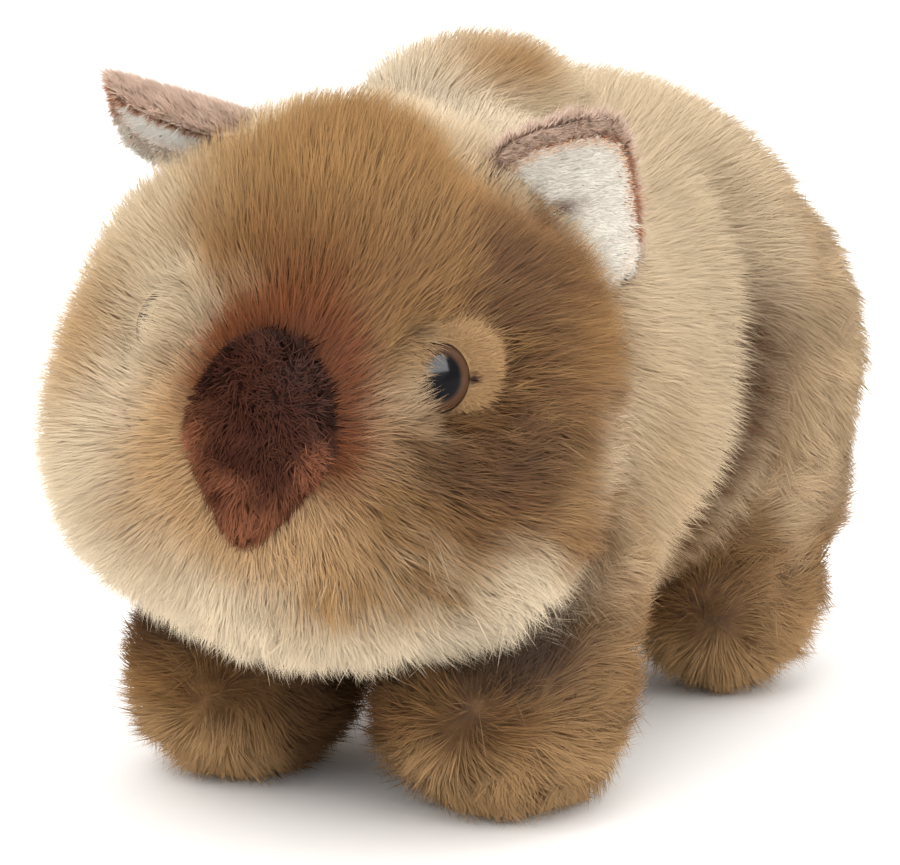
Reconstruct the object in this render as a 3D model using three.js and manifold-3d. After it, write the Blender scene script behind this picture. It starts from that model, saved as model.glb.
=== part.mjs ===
// A soft plush toy wombat that stands on four short legs, in millimetres.
// +Z is up, the toy faces -Y, and the origin is on the floor under the middle of the whole toy.
// Every form reaches out to the tips of its pile.
import * as THREE from "three";
import Module from "manifold-3d";

const wasm = await Module();
wasm.setup();

// The room left between two pieces that meet.
const gap = 0.3;
const degree = Math.PI / 180;

// The head looks a little to the toy's own left and hangs a little to that side.
const headPose = { centre: [-1, -83, 98], yaw: 12.5, roll: 9 };

// Each form is a blend of egg-shaped lumps, less a few dents. Lumps and dents give a centre, three
// radii and how widely they blend into what comes before. A pair is repeated on the other side.
const head = {
  centre: [0, 0, 0],
  around: 48,
  along: 30,
  lumps: [
    { at: [0, 4, 1], radii: [67, 60, 68.5], blend: 0 },
    { at: [0, -26, -11], radii: [48, 42, 47], blend: 16 },
    { at: [33, -6, -17], radii: [33, 42, 38], blend: 14, pair: true },
  ],
  dents: [{ at: [42, -54.5, 17], radii: [16, 16, 14], blend: 12, pair: true }],
};
const torso = {
  centre: [0, 20, 95],
  around: 46,
  along: 28,
  lumps: [
    { at: [0, -26, 92], radii: [66, 58, 66], blend: 0 },
    { at: [0, -4, 74], radii: [66, 72, 50], blend: 10 },
    { at: [0, 48, 102], radii: [71, 72, 66], blend: 30 },
    { at: [0, -46, 110], radii: [62, 36, 56], blend: 14 },
    { at: [-2, -9, 159], radii: [24, 50, 20], blend: 6 },
  ],
  dents: [],
};
const frontLeg = {
  centre: [34, -66, 34],
  around: 32,
  along: 20,
  lumps: [
    { at: [37, -58, 52], radii: [29, 30, 50], blend: 0 },
    { at: [33, -72, 26], radii: [32, 33, 28], blend: 10 },
    { at: [38, -62, 20], radii: [24, 28, 22], blend: 10 },
  ],
  dents: [],
};
const rearLeg = {
  centre: [48, 62, 45],
  around: 32,
  along: 22,
  lumps: [
    { at: [39, 65, 88], radii: [38, 44, 52], blend: 0 },
    { at: [44, 46, 58], radii: [26, 30, 30], blend: 10 },
    { at: [42, 72, 52], radii: [30, 36, 34], blend: 10 },
    { at: [43, 54, 26], radii: [29, 34, 28], blend: 10 },
  ],
  dents: [],
};
const tail = { at: [0, 117, 66], radii: [12, 12, 10] };

// The nose is a rounded shield that narrows below. The eyes are domed discs turned outwards and
// tipped up.
const nose = { at: [0.4, -63, -1], wide: 17, high: 23.5, deep: 9, taper: 0.42 };
const eye = { at: [31.2, -40.4, 14.9], radius: 7.8, deep: 4.2, turn: 44, tip: 14 };

// An ear is two leaves back to back, both cupped: a wide outer one and a smaller lining.
const ear = { wide: 22.3, high: 19.3, low: 7, outer: 3.4, lining: 2.2, inset: 0.82, reach: 150 };
const earPoses = {
  left: { at: [39.9, 3.6, 45.6], out: [0.784, 0.514, 0.348], face: [0.575, -0.811, -0.099], cup: 7 },
  right: { at: [-43.5, 10.1, 43.8], out: [-0.96, -0.196, 0.202], face: [-0.109, -0.404, -0.908], cup: 11.9 },
};

// Colours of the pile, felt and plastic.
const looks = {
  head: { color: "#a58460", roughness: 0.95 },
  torso: { color: "#c9ae86", roughness: 0.95 },
  leg: { color: "#8c6e4c", roughness: 0.95 },
  tail: { color: "#a88c66", roughness: 0.95 },
  nose: { color: "#5a3022", roughness: 0.9 },
  ear: { color: "#8f7468", roughness: 0.95 },
  ear_lining: { color: "#e6dcc8", roughness: 0.9 },
  eye: { color: "#2a1710", roughness: 0.08 },
};

// A lump, followed by its twin across the middle where it has one.
function both(lump) {
  return lump.pair ? [lump, { ...lump, at: [-lump.at[0], lump.at[1], lump.at[2]] }] : [lump];
}

// About how far a point lies outside a lump, and less than zero inside it.
function outside(p, lump) {
  const q = lump.at.map((c, i) => (p[i] - c) / lump.radii[i]);
  const near = Math.hypot(...q);
  const slope = Math.hypot(...q.map((c, i) => c / lump.radii[i]));
  return slope < 1e-9 ? -Math.min(...lump.radii) : (near * (near - 1)) / slope;
}

// The smaller of two distances, rounded off where they are alike.
function smooth(a, b, blend) {
  const h = Math.max(blend - Math.abs(a - b), 0) / Math.max(blend, 1e-9);
  return Math.min(a, b) - (h * h * blend) / 4;
}

function distance(form, p) {
  let d = Infinity;
  for (const lump of form.lumps.flatMap(both)) d = smooth(d, outside(p, lump), lump.blend);
  for (const dent of form.dents.flatMap(both)) d = -smooth(-d, outside(p, dent), dent.blend);
  return d;
}

function solid(points, faces) {
  return new wasm.Manifold(
    new wasm.Mesh({
      numProp: 3,
      vertProperties: new Float32Array(points.flat()),
      triVerts: new Uint32Array(faces),
    }),
  );
}

// A closed ball of rings, with each direction put where the given function says.
function ball(around, along, place) {
  const points = [place(0, 0, -1)];
  for (let j = 1; j < along; j++) {
    const tilt = (Math.PI * j) / along;
    for (let i = 0; i < around; i++) {
      const turn = (2 * Math.PI * i) / around;
      const level = Math.sin(tilt);
      points.push(place(level * Math.cos(turn), level * Math.sin(turn), -Math.cos(tilt)));
    }
  }
  points.push(place(0, 0, 1));
  const top = points.length - 1;
  const at = (j, i) => 1 + (j - 1) * around + (i % around);
  const faces = [];
  for (let i = 0; i < around; i++) {
    faces.push(0, at(1, i + 1), at(1, i));
    for (let j = 1; j < along - 1; j++) {
      faces.push(at(j, i), at(j, i + 1), at(j + 1, i));
      faces.push(at(j, i + 1), at(j + 1, i + 1), at(j + 1, i));
    }
    faces.push(at(along - 1, i), at(along - 1, i + 1), top);
  }
  return solid(points, faces);
}

// The solid of a form, grown by a level, found by halving along each ray from its centre. It
// stops at the floor, which makes the flat soles.
function formed(form, level = 0, floor = -Infinity) {
  return ball(form.around, form.along, (x, y, z) => {
    const point = (r) => [form.centre[0] + x * r, form.centre[1] + y * r, form.centre[2] + z * r];
    let inside = 0;
    let beyond = 250;
    for (let k = 0; k < 36; k++) {
      const middle = (inside + beyond) / 2;
      const p = point(middle);
      if (distance(form, p) < level && p[2] > floor) inside = middle;
      else beyond = middle;
    }
    return point(inside);
  });
}

const headMatrix = new THREE.Matrix4()
  .makeRotationFromEuler(new THREE.Euler(0, headPose.roll * degree, headPose.yaw * degree, "ZXY"))
  .setPosition(...headPose.centre);

// Something made in the head's own frame, put where the head is.
function posed(made) {
  return made.transform(headMatrix.elements);
}

function noseSolid(grow) {
  return ball(24, 14, (x, y, z) => {
    const narrow = 1 - nose.taper * Math.max(0, -z) - 0.1 * Math.max(0, z);
    return [
      nose.at[0] + x * (nose.wide * narrow + grow),
      nose.at[1] + y * (nose.deep + grow),
      nose.at[2] + z * (nose.high + grow),
    ];
  });
}

function eyeSolid(side, grow) {
  const radii = [eye.radius + grow, eye.deep + grow, eye.radius + grow];
  return ball(16, 10, (x, y, z) => [x * radii[0], y * radii[1], z * radii[2]])
    .rotate([-eye.tip, 0, side * eye.turn])
    .translate([side * eye.at[0], eye.at[1], eye.at[2]]);
}

// One leaf of an ear: flat on the side that meets the other leaf, domed on the side that shows,
// squared off at its corners and then bent to a cup that is deepest at the base.
function earLeaf(pose, isLining) {
  const out = new THREE.Vector3(...pose.out).normalize();
  const across = new THREE.Vector3().crossVectors(out, new THREE.Vector3(...pose.face)).normalize();
  const back = new THREE.Vector3().crossVectors(out, across).normalize();
  const size = isLining ? ear.inset : 1;
  return ball(24, 12, (x, y, z) => {
    const corner = (Math.abs(x) ** 3.2 + Math.abs(z) ** 3.2) ** (1 / 3.2);
    const square = Math.hypot(x, z) / Math.max(corner, 1e-9);
    const u = x * square * ear.wide * size;
    const v = ear.low + z * square * ear.high * size;
    const bend = pose.cup * (1 - (u / ear.wide) ** 2) * (1 - v / ear.reach);
    const thick = isLining
      ? -gap / 2 - ear.lining * Math.sqrt(Math.max(-y, 0))
      : gap / 2 + ear.outer * Math.sqrt(Math.max(y, 0));
    return new THREE.Vector3(...pose.at)
      .addScaledVector(across, u)
      .addScaledVector(out, v)
      .addScaledVector(back, bend + thick)
      .toArray();
  });
}

const parts = {};
const headRoom = posed(formed(head, gap));
const torsoRoom = formed(torso, gap);
parts.torso = formed(torso).subtract(headRoom);
parts.head = posed(formed(head)).subtract(posed(noseSolid(gap)));
parts.nose = posed(noseSolid(0));

for (const [side, sign] of [["left", 1], ["right", -1]]) {
  parts.head = parts.head.subtract(posed(eyeSolid(sign, gap)));
  parts[`eye_${side}`] = posed(eyeSolid(sign, 0));
  for (const [name, isLining] of [["ear", false], ["ear_lining", true]]) {
    const leaf = posed(earLeaf(earPoses[side], isLining));
    parts[`${name}_${side}`] = leaf.subtract(headRoom).subtract(torsoRoom);
  }
}

for (const [name, form] of [["front", frontLeg], ["rear", rearLeg]]) {
  const left = formed(form, 0, 0);
  for (const [side, leg] of [["left", left], ["right", left.mirror([1, 0, 0])]]) {
    parts[`leg_${name}_${side}`] = leg.subtract(torsoRoom).subtract(headRoom);
  }
}
parts.tail = ball(16, 10, (x, y, z) =>
  [x, y, z].map((c, i) => tail.at[i] + c * tail.radii[i]),
).subtract(torsoRoom);

// The whole toy is moved so that the origin lies under its middle.
const boxes = Object.values(parts).map((made) => made.boundingBox());
const middle = [0, 1].map(
  (i) => (Math.min(...boxes.map((b) => b.min[i])) + Math.max(...boxes.map((b) => b.max[i]))) / 2,
);

const root = new THREE.Group();
for (const [name, made] of Object.entries(parts)) {
  const data = made.translate([-middle[0], -middle[1], 0]).getMesh();
  const geometry = new THREE.BufferGeometry();
  geometry.setAttribute("position", new THREE.BufferAttribute(data.vertProperties, 3));
  geometry.setIndex(new THREE.BufferAttribute(data.triVerts, 1));
  geometry.computeVertexNormals();
  const look = looks[name.replace(/(_front|_rear)?_(left|right)$/, "")];
  const mesh = new THREE.Mesh(geometry, new THREE.MeshStandardMaterial({ ...look, metalness: 0 }));
  mesh.name = name;
  root.add(mesh);
}
export default root;
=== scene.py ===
"""A soft plush toy wombat on a pale floor. Sizes are millimetres in the toy's own frame: +Z up, facing -Y."""

import bpy
import numpy as np
from mathutils import Matrix, Vector


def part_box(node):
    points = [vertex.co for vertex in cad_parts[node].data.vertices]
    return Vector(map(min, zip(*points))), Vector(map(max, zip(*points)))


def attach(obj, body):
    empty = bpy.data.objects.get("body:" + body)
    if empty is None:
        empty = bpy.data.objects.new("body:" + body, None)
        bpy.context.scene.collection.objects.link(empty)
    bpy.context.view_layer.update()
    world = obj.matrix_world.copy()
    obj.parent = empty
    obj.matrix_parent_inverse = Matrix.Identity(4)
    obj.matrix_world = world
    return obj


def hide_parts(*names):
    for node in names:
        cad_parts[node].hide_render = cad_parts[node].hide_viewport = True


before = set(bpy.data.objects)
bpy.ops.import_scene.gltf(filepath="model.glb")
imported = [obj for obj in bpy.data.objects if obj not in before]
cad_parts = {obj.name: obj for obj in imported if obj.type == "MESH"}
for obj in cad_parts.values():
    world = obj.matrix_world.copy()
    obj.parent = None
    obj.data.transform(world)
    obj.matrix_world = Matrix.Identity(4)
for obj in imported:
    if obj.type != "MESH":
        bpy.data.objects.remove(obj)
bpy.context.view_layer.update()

MM = 0.001
SEED = 11


def vec(*xyz):
    return np.array(xyz, float)


def far_off(v):
    """The length of each row."""
    return np.linalg.norm(v, axis=-1)


def unit(v):
    """Each row divided by its own length."""
    return v / np.maximum(far_off(v)[..., None], 1e-9)


def flat(a):
    """An array as the plain run of single floats that Blender takes."""
    return a.astype(np.float32).reshape(-1)


def placed(name, data):
    """A new object of the scene."""
    made = bpy.data.objects.new(name, data)
    bpy.context.scene.collection.objects.link(made)
    return made


def ramp(x, low, high):
    """Zero below low, one above high, and an S-shaped rise between them."""
    t = np.clip((x - low) / (high - low), 0, 1)
    return t * t * (3 - 2 * t)


def colour(r, g, b):
    """A colour read as eight-bit display values, turned to linear light."""
    c = np.array([r, g, b]) / 255
    return np.where(c <= 0.04045, c / 12.92, ((c + 0.055) / 1.055) ** 2.4)


# The forms under the pile. Each is a blend of egg-shaped lumps, less a few dents. A lump is its
# centre, its three radii and how widely it blends, and True repeats it on the other side.
HEAD_CENTRE = vec(-1, -83, 98)
HEAD_YAW, HEAD_ROLL = np.radians(12.5), np.radians(9)
HEAD = {
    "centre": vec(0, 0, 0),
    "lumps": [
        ((0, 4, 1), (67, 60, 68.5), 0),
        ((0, -26, -11), (48, 42, 47), 16),
        ((33, -6, -17), (33, 42, 38), 14, True),
    ],
    "dents": [((42, -54.5, 17), (16, 16, 14), 12, True)],
}
TORSO = {
    "centre": vec(0, 20, 95),
    "lumps": [
        ((0, -26, 92), (66, 58, 66), 0),
        ((0, -4, 74), (66, 72, 50), 10),
        ((0, 48, 102), (71, 72, 66), 30),
        ((0, -46, 110), (62, 36, 56), 14),
        ((-2, -9, 159), (24, 50, 20), 6),
    ],
}
FRONT_LEG = {
    "centre": vec(34, -66, 34),
    "lumps": [
        ((37, -58, 52), (29, 30, 50), 0),
        ((33, -72, 26), (32, 33, 28), 10),
        ((38, -62, 20), (24, 28, 22), 10),
    ],
}
REAR_LEG = {
    "centre": vec(48, 62, 45),
    "lumps": [
        ((39, 65, 88), (38, 44, 52), 0),
        ((44, 46, 58), (26, 30, 30), 10),
        ((42, 72, 52), (30, 36, 34), 10),
        ((43, 54, 26), (29, 34, 28), 10),
    ],
}
TAIL = {
    "centre": vec(0, 110, 66),
    "lumps": [
        ((0, 117, 66), (12, 12, 10), 0),
        ((0, 104, 68), (13, 16, 12), 6),
    ],
}

# From the toy's own frame, which its forms are given in, to the model's, at the middle of its box.
SHIFT = vec(0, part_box("tail")[1][1] / MM - (117 + 12), 0)

# Places and sizes in the head's frame. An ear has half its width and height, how far its middle is
# from its root, how square it is and how slowly its cup opens. The lining has shares of that width
# and height, and its middle lies a little over and above.
NOSE_AT, NOSE_WIDE, NOSE_HIGH, NOSE_DEEP, NOSE_TAPER = vec(0.4, -63, -1), 17, 23.5, 9, 0.42
EYE_AT, EYE_RADIUS, EYE_DEEP = vec(31.2, -40.4, 14.9), 7.8, 4.2
EYE_TURN, EYE_TIP = np.radians(44), np.radians(14)
EAR = {"wide": 22.3, "high": 19.3, "low": 7, "corner": 3.2, "reach": 150}
LINING = {"wide": 0.8, "high": 0.84, "over": 1.8, "above": 0.9}
EAR_POSES = {
    "left": {
        "at": vec(39.9, 3.6, 45.6),
        "out": vec(0.784, 0.514, 0.348),
        "face": vec(0.575, -0.811, -0.099),
        "cup": 7,
    },
    "right": {
        "at": vec(-43.5, 10.1, 43.8),
        "out": vec(-0.96, -0.196, 0.202),
        "face": vec(-0.109, -0.404, -0.908),
        "cup": 11.9,
    },
}

# Sewn folds of the left side: two runs down the flank in front of the haunch, and a short one on
# the haunch. Each has points along it, how deep it pulls in and how wide.
FOLDS = [
    ([(50, 27, 140), (54, 25, 132), (59, 24, 119), (61, 20, 102)], 6, 9),
    ([(61, 20, 102), (62, 16, 89), (61, 12, 77), (58, 5, 66), (54, -6, 58)], 11, 8),
    ([(62, 36, 98), (61, 38, 86), (60, 39, 74), (57, 38, 62)], 5, 6),
]

# Points along the foot of each ear, where the pile is cut short, in the head's frame.
EAR_FEET = [
    [(28, -17, 58), (34, -15, 55.5), (41, -10, 52.5), (44, -5, 51)],
    [(-30, -11, 59.5), (-36.5, -12, 55.5), (-41.5, -13, 51), (-47.5, -10.5, 46)],
]

# Where the pile parts on each paw: its place on the left one, and how far both then lie to the left.
FRONT_WHORL = vec(30.5, -103.5, 24.5), 7.5
REAR_WHORL = vec(50, 22, 23), 0

# The pile's depth on each form, and on the bank by each eye: to the skin, and of the pile itself on
# the near and on the far side.
PILE = {"head": 8.5, "torso": 9.0, "front": 7.5, "rear": 8.0, "tail": 4.0}
BANK_ROOT, BANK_NEAR, BANK_FAR = 2.6, 6.5, 8.3
FORMS = {"head": HEAD, "torso": TORSO, "front": FRONT_LEG, "rear": REAR_LEG, "tail": TAIL}
REGIONS = tuple(FORMS)


def spin(axis, angle):
    """A turn about X, Y or Z, axis 0, 1 or 2, as a matrix."""
    made, a, b = np.eye(3), (axis + 1) % 3, (axis + 2) % 3
    made[a, a] = made[b, b] = np.cos(angle)
    made[b, a], made[a, b] = np.sin(angle), -np.sin(angle)
    return made


# The head's own axes as columns: rolled about Y, then turned about Z.
HEAD_AXES = spin(2, HEAD_YAW) @ spin(1, HEAD_ROLL)


def to_head(p):
    return (p - HEAD_CENTRE) @ HEAD_AXES


def from_head(q):
    return q @ HEAD_AXES.T + HEAD_CENTRE


def egg(p, at, radii):
    """About how far points lie outside an egg: k0 (k0 - 1) / k1, with k0 the scaled distance from
    its centre and k1 the slope of that."""
    q = (p - vec(*at)) / vec(*radii)
    near = far_off(q)
    slope = far_off(q / vec(*radii))
    return near * (near - 1) / np.maximum(slope, 1e-9)


def smooth_min(a, b, blend):
    """The smaller of two distances, rounded off where they are alike."""
    h = np.maximum(blend - np.abs(a - b), 0) / max(blend, 1e-9)
    return np.minimum(a, b) - h * h * blend / 4


def distance(form, p):
    """Distance outside a form: its lumps joined one after the other, then its dents taken off."""
    d = np.full(p.shape[:-1], 1e9)
    for kind, sign in (("lumps", 1), ("dents", -1)):
        for at, radii, blend, *pair in form.get(kind, ()):
            for side in (1, -1) if pair else (1,):
                other = egg(p, (side * at[0], at[1], at[2]), radii)
                d = sign * smooth_min(sign * d, other, blend)
    return d


def mirrored(p):
    return p * vec(-1, 1, 1)


def left_side(p):
    """Points of either side, moved to the left side."""
    return np.stack([np.abs(p[:, 0]), p[:, 1], p[:, 2]], axis=1)


def side_of(p):
    """The factor that takes a place on the left side to each point's own side."""
    return np.stack([np.sign(p[:, 0] + 1e-9), np.ones(len(p)), np.ones(len(p))], axis=1)


def from_whorl(p, whorl):
    """The way from the whorl on the paw of a point's own side."""
    return p - whorl[0] * side_of(p) - vec(whorl[1], 0, 0)


def line_gap(p, points):
    """Distance from the straight runs between points, one after the other."""
    near = np.full(len(p), 1e9)
    for a, b in zip(points[:-1], points[1:]):
        a, way = vec(*a), vec(*b) - vec(*a)
        along = np.clip((p - a) @ way / (way @ way), 0, 1)
        near = np.minimum(near, far_off(p - a - along[:, None] * way))
    return near


def fold_pull(p):
    """How far the folds pull the plush in: each one's depth times a bell curve of the distance from
    its line."""
    q, pull = left_side(p), np.zeros(len(p))
    for points, deep, wide in FOLDS:
        pull = np.maximum(pull, deep * np.exp(-((line_gap(q, points) / wide) ** 2)))
    return pull


def region_distances(p):
    """Distance of points from each kind of form, in the order of REGIONS."""
    forms = [distance(HEAD, to_head(p)), distance(TORSO, p)]
    forms += [distance(form, p * side_of(p)) for form in (FRONT_LEG, REAR_LEG, TAIL)]
    return np.stack(forms, axis=1)


def eye_gap(q):
    """Distance from the middle of the nearer eye, for points in the head's frame."""
    return far_off(left_side(q) - EYE_AT)


def eye_patch(q):
    """One on the trimmed patch round the nearer eye and zero off it: an egg-shaped area from the
    eye to its outer side, softer on the far side."""
    r = (left_side(q) - vec(35.5, -36.5, 17.5)) / vec(10.2, 11, 11)
    far = far_off(r)
    return np.where(q[:, 0] > 0, 1 - ramp(far, 0.86, 1.06), 0.4 * (1 - ramp(far, 0.6, 1.2)))


# How far out a ray is searched for the skin, and how often that length is halved.
FARTHEST, HALVINGS = 250.0, 30


def pile_depth(region, p):
    """How deep the pile is at points of a form, shorter by the eyes, the nose and the soles."""
    depth = np.full(len(p), PILE[region])
    if region == "head":
        depth *= 1 - 0.35 * (1 - ramp(far_off(p - NOSE_AT), 22, 34))
        depth *= 1 - 0.62 * np.maximum(eye_patch(p), 1 - ramp(eye_gap(p), 7.5, 9.5))
        guard = eye_guard(p)
        depth = depth * (1 - guard) + BANK_ROOT * guard
    if region in ("front", "rear"):
        depth *= 1 - 0.35 * (1 - ramp(p[:, 2], 2, 14))
    return depth


def ball_grid(around, along):
    """Rays of a closed ball, ring by ring, by the turn about Z and the tilt from -Z, and its faces."""
    tilt = np.linspace(0, np.pi, along + 1)[1:-1, None]
    turn = np.linspace(0, 2 * np.pi, around, endpoint=False)[None, :]
    rays = [np.sin(tilt) * np.cos(turn), np.sin(tilt) * np.sin(turn), -np.cos(tilt) + 0 * turn]
    rays = np.stack(rays, axis=-1).reshape(-1, 3)
    return np.concatenate([[[0, 0, -1]], rays, [[0, 0, 1]]]), ball_faces(around, along)


def form_skin(region, around=88, along=56):
    """A ball grid round a form's centre, each ray halved down to where it comes out of the form
    under the pile."""
    form = FORMS[region]
    rays, faces = ball_grid(around, along)
    low, high = np.zeros(len(rays)), np.full(len(rays), FARTHEST)
    for _ in range(HALVINGS):
        middle = (low + high) / 2
        p = form["centre"] + rays * middle[:, None]
        inside = distance(form, p) + pile_depth(region, p) < 0
        low, high = np.where(inside, middle, low), np.where(inside, high, middle)
    return form["centre"] + rays * low[:, None], faces


def ball_faces(around, along):
    """Quads of a closed ball of rings, and the triangles at its two poles."""
    j, i = np.meshgrid(np.arange(along - 2), np.arange(around), indexing="ij")
    here, there = 1 + j * around + i, 1 + j * around + (i + 1) % around
    quads = np.stack([here, there, there + around, here + around], axis=-1).reshape(-1, 4)
    k = np.arange(around)
    top, last = 1 + (along - 1) * around, 1 + (along - 2) * around
    south = np.stack([k * 0, 1 + (k + 1) % around, 1 + k], axis=1)
    north = np.stack([last + k, last + (k + 1) % around, k * 0 + top], axis=1)
    return [quads, south, north]


def new_mesh(name, points, faces):
    """A smooth mesh object at the origin, from points in the toy's frame and arrays of faces."""
    mesh = bpy.data.meshes.new(name)
    loops = np.concatenate([f.reshape(-1) for f in faces]).astype(np.int32)
    totals = np.concatenate([np.full(len(f), f.shape[1]) for f in faces])
    starts = np.concatenate([[0], np.cumsum(totals)[:-1]]).astype(np.int32)
    mesh.vertices.add(len(points))
    mesh.vertices.foreach_set("co", flat((points + SHIFT) * MM))
    mesh.loops.add(len(loops))
    mesh.loops.foreach_set("vertex_index", loops)
    mesh.polygons.add(len(totals))
    mesh.polygons.foreach_set("loop_start", starts)
    mesh.polygons.foreach_set("use_smooth", np.full(len(totals), True))
    mesh.update(calc_edges=True)
    mesh.validate()
    return placed(name, mesh)


def joined(pieces):
    """Several (points, faces) pairs as one."""
    points, faces, start = [], [], 0
    for p, fs in pieces:
        points.append(p)
        faces += [f + start for f in fs]
        start += len(p)
    return np.concatenate(points), faces


def flipped(p, faces):
    """The mirror image of a piece, with its faces still outward."""
    return mirrored(p), [f[:, ::-1] for f in faces]


def make_skin():
    """The cloth under the pile: every form's grid fused by a voxel remesh, smoothed a little, and
    pulled in at the folds."""
    head_points, head_faces = form_skin("head")
    pieces = [(from_head(head_points), head_faces)]
    pieces += [form_skin("torso"), form_skin("tail", 32, 20)]
    for region in ("front", "rear"):
        leg = form_skin(region, 56, 40)
        pieces += [leg, flipped(*leg)]
    made = new_mesh("plush_skin", *joined(pieces))
    remesh = made.modifiers.new("fuse", "REMESH")
    remesh.mode, remesh.voxel_size = "VOXEL", 2.2 * MM
    ease = made.modifiers.new("ease", "SMOOTH")
    ease.factor, ease.iterations = 0.5, 6
    fused = bpy.data.meshes.new_from_object(made.evaluated_get(bpy.context.evaluated_depsgraph_get()))
    made.modifiers.clear()
    old, made.data = made.data, fused
    bpy.data.meshes.remove(old)
    fused.name = "plush_skin"
    fused.polygons.foreach_set("use_smooth", np.full(len(fused.polygons), True))
    points, normals, _ = mesh_arrays(fused)
    pulled = points - normals * fold_pull(points)[:, None]
    fused.vertices.foreach_set("co", flat((pulled + SHIFT) * MM))
    fused.update()
    return made


def mesh_arrays(mesh):
    """Points and normals in the toy's frame, and the triangles, of a mesh."""
    points = np.empty(len(mesh.vertices) * 3)
    mesh.vertices.foreach_get("co", points)
    normals = np.empty(len(mesh.vertices) * 3)
    mesh.vertices.foreach_get("normal", normals)
    mesh.calc_loop_triangles()
    triangles = np.empty(len(mesh.loop_triangles) * 3, int)
    mesh.loop_triangles.foreach_get("vertices", triangles)
    return points.reshape(-1, 3) / MM - SHIFT, normals.reshape(-1, 3), triangles.reshape(-1, 3)


def shade_points(made, shades):
    """Lays a colour on each point, where the materials look for it."""
    layer = made.data.color_attributes.new("coat", "FLOAT_COLOR", "POINT")
    full = np.concatenate([shades, np.ones((len(shades), 1))], axis=1)
    layer.data.foreach_set("color", flat(full))


def waves(p, length, seed, count=5):
    """A soft random value from about -1 to 1, of a few sine waves of about one length that run in
    random directions."""
    rng = np.random.default_rng(seed)
    total = np.zeros(len(p))
    for _ in range(count):
        way = unit(rng.normal(size=3)) * 2 * np.pi / (length * rng.uniform(0.7, 1.4))
        total += np.sin(p @ way + rng.uniform(0, 2 * np.pi))
    return total / np.sqrt(count) * 0.9


def drift(p, length, salt):
    """A slowly turning random way at each point, of three waves of one length."""
    return np.stack([waves(p, length, SEED + salt + k) for k in range(3)], axis=1)


# Colours of the pile at its tips and at its roots.
PALE, PALE_ROOT = colour(228, 211, 183), colour(212, 188, 154)
CREAM, CREAM_ROOT = colour(211, 189, 157), colour(194, 168, 133)
TAN, TAN_ROOT = colour(183, 149, 107), colour(158, 124, 84)
BROWN, BROWN_ROOT = colour(163, 124, 78), colour(138, 101, 61)
DARK, DARK_ROOT = colour(113, 77, 46), colour(84, 56, 34)
RUST, RUST_ROOT = colour(124, 70, 37), colour(96, 52, 27)
NOSE_DARK, NOSE_RED = colour(70, 36, 23), colour(143, 89, 62)
EAR_BACK, EAR_RUST, EAR_CREAM = colour(222, 194, 174), colour(190, 122, 80), colour(246, 238, 224)


def mix(a, b, w):
    """Rows of a and b mixed by a weight for each row."""
    return a * (1 - w[:, None]) + b * w[:, None]


def bell(p, at, size):
    """One at a place, falling off as a bell curve over its three sizes."""
    return np.exp(-(far_off((p - vec(*at)) / vec(*size)) ** 2))


class Pile:
    """Tip and root colours of a set of points, painted over in steps. A spot is a soft round mark:
    its place, its three sizes, how strong it is and how uneven."""

    def __init__(self, p, fine, tip, root):
        self.p, self.fine = p, fine
        self.tip, self.root = np.tile(tip, (len(p), 1)), np.tile(root, (len(p), 1))

    def spot(self, tip, root, at, size, strong, uneven=0):
        self.spray(tip, root, bell(self.p, at, size) * (strong + uneven * self.fine))

    def spray(self, tip, root, amount):
        amount = np.clip(amount, 0, 1)
        self.tip, self.root = mix(self.tip, tip, amount), mix(self.root, root, amount)


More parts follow.
